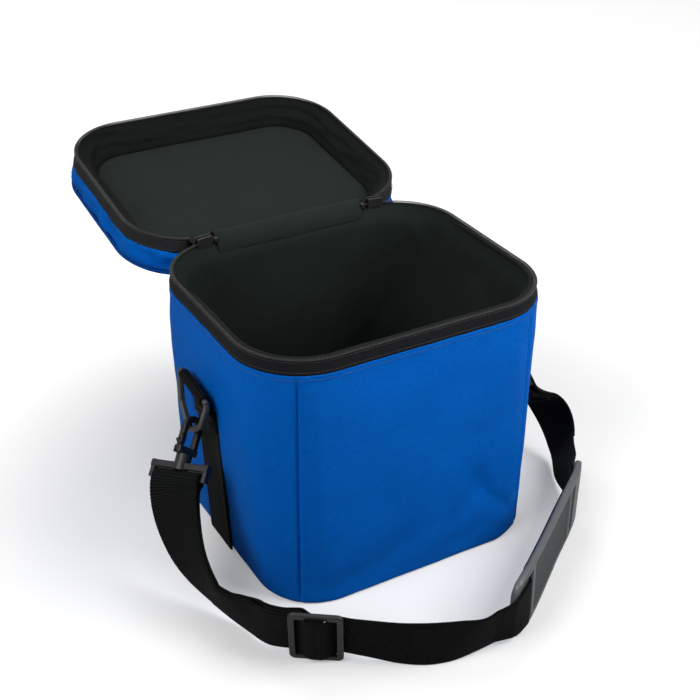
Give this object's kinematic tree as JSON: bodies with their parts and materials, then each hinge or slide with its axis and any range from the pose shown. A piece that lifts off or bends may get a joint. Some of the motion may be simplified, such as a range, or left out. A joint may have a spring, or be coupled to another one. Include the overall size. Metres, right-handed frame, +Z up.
{
  "type": "record carrying case",
  "caption": "Soft padded carrying case for seven-inch records, with a zipped lid hinged at the back and a clip-on adjustable shoulder strap.",
  "frame": {"origin": "centre of the underside of the base, on the surface the case stands on", "axes": "+Z up, +X to the right along the front, +Y towards the lid hinge at the back"},
  "size_m": [0.3361, 0.4808, 0.2178],
  "materials": {
    "blue_weave": "plain woven polyester, slightly shiny",
    "padding": "closed-cell foam",
    "board": "stiff plastic board",
    "black_lining": "black woven nylon lining",
    "zip_tape": "black ribbed zip tape",
    "zip_coil": "black nylon coil",
    "zip_metal": "black painted die-cast zinc",
    "piping": "blue piped seam",
    "webbing": "ribbed black webbing",
    "grey_plastic": "moulded dark grey acetal",
    "pad_rubber": "dark grey textured rubber with glossier rails"
  },
  "bodies": {
    "case": {"front_panel": "blue_weave", "back_panel": "blue_weave", "left_side_panel": "blue_weave", "right_side_panel": "blue_weave", "base_panel": "blue_weave", "wall_foam": "padding", "base_board": "board", "body_lining": "black_lining", "rim_binding": "black_lining", "body_zip_tape": "zip_tape", "body_zip_coil": "zip_coil", "zip_stop_left": "zip_metal", "zip_stop_right": "zip_metal", "hinge_panel": "blue_weave", "left_anchor_web": "webbing", "right_anchor_web": "webbing", "swivel_base_left": "grey_plastic", "swivel_base_right": "grey_plastic", "strap_webbing": "webbing", "tri_glide": "grey_plastic", "shoulder_pad": "pad_rubber"},
    "lid": {"lid_zip_coil": "zip_coil", "lid_zip_tape": "zip_tape", "lid_wall": "blue_weave", "lid_top_panel": "blue_weave", "lid_piping": "piping", "lid_foam": "padding", "lid_lining": "black_lining"},
    "gate_left": {"gate_left": "grey_plastic"},
    "gate_right": {"gate_right": "grey_plastic"},
    "hook_left": {"hook_left": "grey_plastic"},
    "hook_right": {"hook_right": "grey_plastic"},
    "ring_left": {"ring_left": "grey_plastic"},
    "ring_right": {"ring_right": "grey_plastic"},
    "zip_pull_left": {"zip_pull_left": "zip_metal"},
    "zip_pull_right": {"zip_pull_right": "zip_metal"},
    "zip_slider_left": {"zip_slider_left": "zip_metal"},
    "zip_slider_right": {"zip_slider_right": "zip_metal"}
  },
  "joints": [
    {"name": "lid_hinge", "type": "hinge", "parent": "case", "child": "lid", "pos_m": [0, 0.0917, 0.1919], "axis": [-1, 0, 0], "range_deg": [-172, 3], "deforming": ["hinge_panel"]},
    {"name": "slider_travel_left", "type": "hinge", "parent": "case", "child": "zip_slider_left", "pos_m": [-0.063, 0.0407, 0.1905], "axis": [0, 0, 1], "range_deg": [0, 72]},
    {"name": "pull_swing_left", "type": "hinge", "parent": "zip_slider_left", "child": "zip_pull_left", "pos_m": [-0.07085, 0.09028, 0.189], "axis": [0, 1, 0], "range_deg": [-45, 45]},
    {"name": "ring_swing_left", "type": "hinge", "parent": "case", "child": "ring_left", "pos_m": [-0.11998, 0, 0.1336], "axis": [0, 0.9945, 0.1045], "range_deg": [-1, 1]},
    {"name": "hook_swivel_left", "type": "hinge", "parent": "case", "child": "hook_left", "pos_m": [-0.13778, -0.01335, 0.08312], "axis": [0.56, 0.52, 0.645], "range_deg": [-10, 10]},
    {"name": "gate_press_left", "type": "hinge", "parent": "hook_left", "child": "gate_left", "pos_m": [-0.13621, -0.00768, 0.09408], "axis": [-0.3409, 0.8542, -0.3927], "range_deg": [0, 20], "stiffness_Nm_per_rad": 0.0002, "springref_deg": -11.46},
    {"name": "slider_travel_right", "type": "hinge", "parent": "case", "child": "zip_slider_right", "pos_m": [0.063, 0.0407, 0.1905], "axis": [0, 0, -1], "range_deg": [0, 72]},
    {"name": "pull_swing_right", "type": "hinge", "parent": "zip_slider_right", "child": "zip_pull_right", "pos_m": [0.07085, 0.09028, 0.189], "axis": [0, 1, 0], "range_deg": [-45, 45]},
    {"name": "ring_swing_right", "type": "hinge", "parent": "case", "child": "ring_right", "pos_m": [0.11998, 0, 0.1336], "axis": [0, 1, 0], "range_deg": [-1, 1]},
    {"name": "hook_swivel_right", "type": "hinge", "parent": "case", "child": "hook_right", "pos_m": [0.14186, -0.01384, 0.07916], "axis": [-0.3699, 0.3929, 0.8419], "range_deg": [-10, 10]},
    {"name": "gate_press_right", "type": "hinge", "parent": "hook_right", "child": "gate_right", "pos_m": [0.14332, -0.00956, 0.09075], "axis": [-0.1581, -0.9196, 0.3597], "range_deg": [0, 20], "stiffness_Nm_per_rad": 0.0002, "springref_deg": -11.46}
  ]
}
